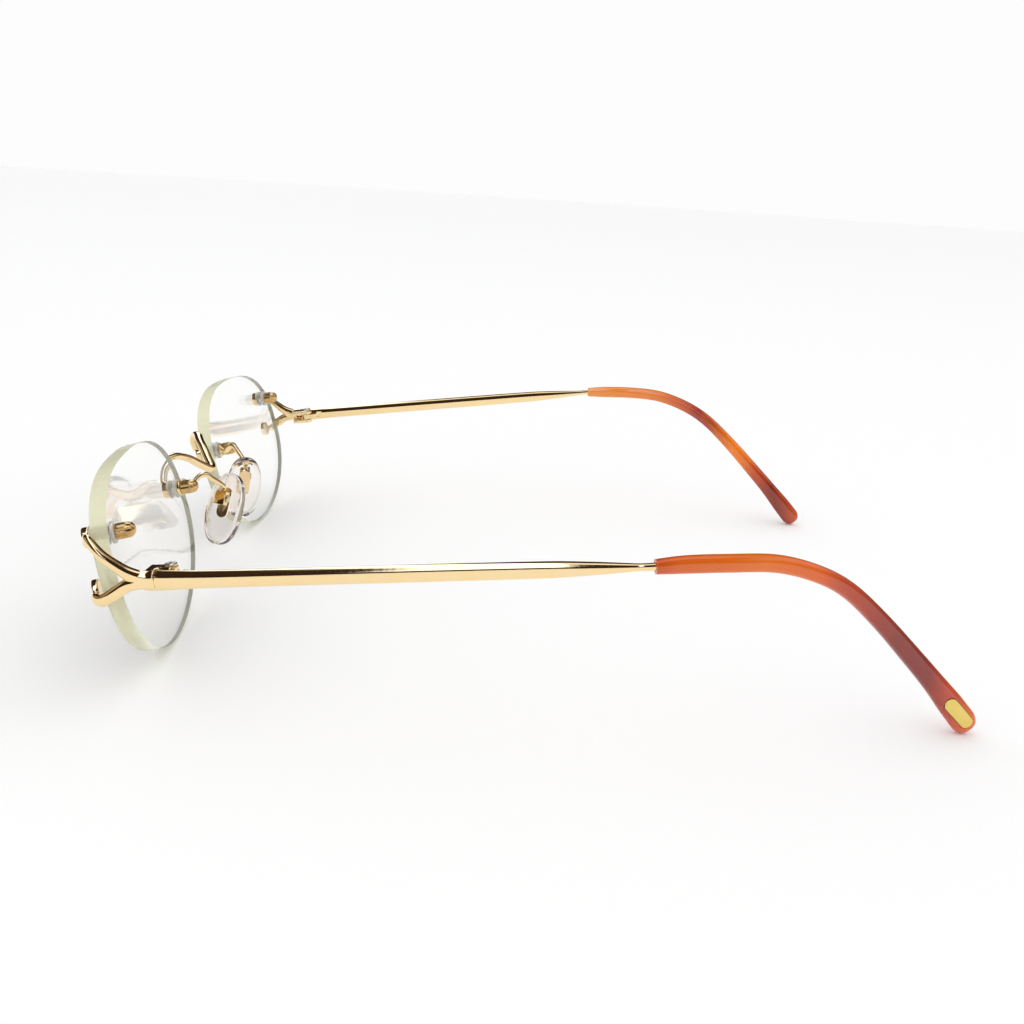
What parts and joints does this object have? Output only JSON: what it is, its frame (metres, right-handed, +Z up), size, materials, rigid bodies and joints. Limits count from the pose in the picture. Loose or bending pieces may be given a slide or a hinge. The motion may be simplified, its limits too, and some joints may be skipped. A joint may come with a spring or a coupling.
{
  "type": "rimless eyeglasses",
  "caption": "Rimless eyeglasses with screwed clear lenses, forked gold end-pieces, folding temples, curved amber tips and rocking clear nose pads.",
  "frame": {"origin": "centre of the bottom of the bounding box, on the table the open glasses stand on", "axes": "+Z up, -Y the way the wearer looks, +X the wearer's left"},
  "size_m": [0.1416, 0.1412, 0.0321],
  "materials": {
    "polished_gold_plate": "polished gold plate over nickel silver",
    "screw_steel": "fine turned, lightly gold toned",
    "lens_resin": "clear optical resin with polished flat edges",
    "clear_nylon": "translucent moulded nylon",
    "cream_nylon_bush": "cream moulded nylon",
    "amber_acetate": "polished translucent amber acetate",
    "clear_silicone": "clear soft silicone",
    "satin_plaque_gold": "satin pale gold plate"
  },
  "bodies": {
    "front": {"bridge": "polished_gold_plate", "dome_nut_nasal_left": "polished_gold_plate", "dome_nut_nasal_right": "polished_gold_plate", "dome_nut_temporal_left": "polished_gold_plate", "dome_nut_temporal_right": "polished_gold_plate", "endpiece_left": "polished_gold_plate", "endpiece_right": "polished_gold_plate", "front_washer_nasal_left": "clear_nylon", "front_washer_nasal_right": "clear_nylon", "front_washer_temporal_left": "clear_nylon", "front_washer_temporal_right": "clear_nylon", "hinge_screw_left": "screw_steel", "hinge_screw_right": "screw_steel", "lens_bush_nasal_left": "cream_nylon_bush", "lens_bush_nasal_right": "cream_nylon_bush", "lens_bush_temporal_left": "cream_nylon_bush", "lens_bush_temporal_right": "cream_nylon_bush", "lens_left": "lens_resin", "lens_right": "lens_resin", "lens_screw_nasal_left": "screw_steel", "lens_screw_nasal_right": "screw_steel", "lens_screw_temporal_left": "screw_steel", "lens_screw_temporal_right": "screw_steel", "pad_arm_left": "polished_gold_plate", "pad_arm_right": "polished_gold_plate", "pad_box_left": "polished_gold_plate", "pad_box_right": "polished_gold_plate", "pad_screw_left": "screw_steel", "pad_screw_right": "screw_steel", "rear_washer_nasal_left": "clear_nylon", "rear_washer_nasal_right": "clear_nylon", "rear_washer_temporal_left": "clear_nylon", "rear_washer_temporal_right": "clear_nylon"},
    "temple_left": {"temple_bar_left": "polished_gold_plate", "temple_tip_left": "amber_acetate", "tip_plaque_left": "satin_plaque_gold"},
    "nose_pad_left": {"nose_pad_left": "clear_silicone", "pad_core_left": "polished_gold_plate"},
    "temple_right": {"temple_bar_right": "polished_gold_plate", "temple_tip_right": "amber_acetate", "tip_plaque_right": "satin_plaque_gold"},
    "nose_pad_right": {"nose_pad_right": "clear_silicone", "pad_core_right": "polished_gold_plate"}
  },
  "joints": [
    {"name": "temple_left_fold", "type": "hinge", "parent": "front", "child": "temple_left", "pos_m": [0.06046, -0.05369, 0.01978], "axis": [-0.0119, -0.1214, 0.9925], "range_deg": [0, 82]},
    {"name": "temple_right_fold", "type": "hinge", "parent": "front", "child": "temple_right", "pos_m": [-0.06046, -0.05369, 0.01978], "axis": [-0.0119, 0.1214, -0.9925], "range_deg": [0, 90]},
    {"name": "nose_pad_left_rock", "type": "hinge", "parent": "front", "child": "nose_pad_left", "pos_m": [0.00953, -0.05829, 0.01747], "axis": [0.2588, 0.9623, -0.0842], "range_deg": [-8, 8]},
    {"name": "nose_pad_right_rock", "type": "hinge", "parent": "front", "child": "nose_pad_right", "pos_m": [-0.00953, -0.05829, 0.01747], "axis": [0.2588, -0.9623, 0.0842], "range_deg": [-8, 8]}
  ]
}
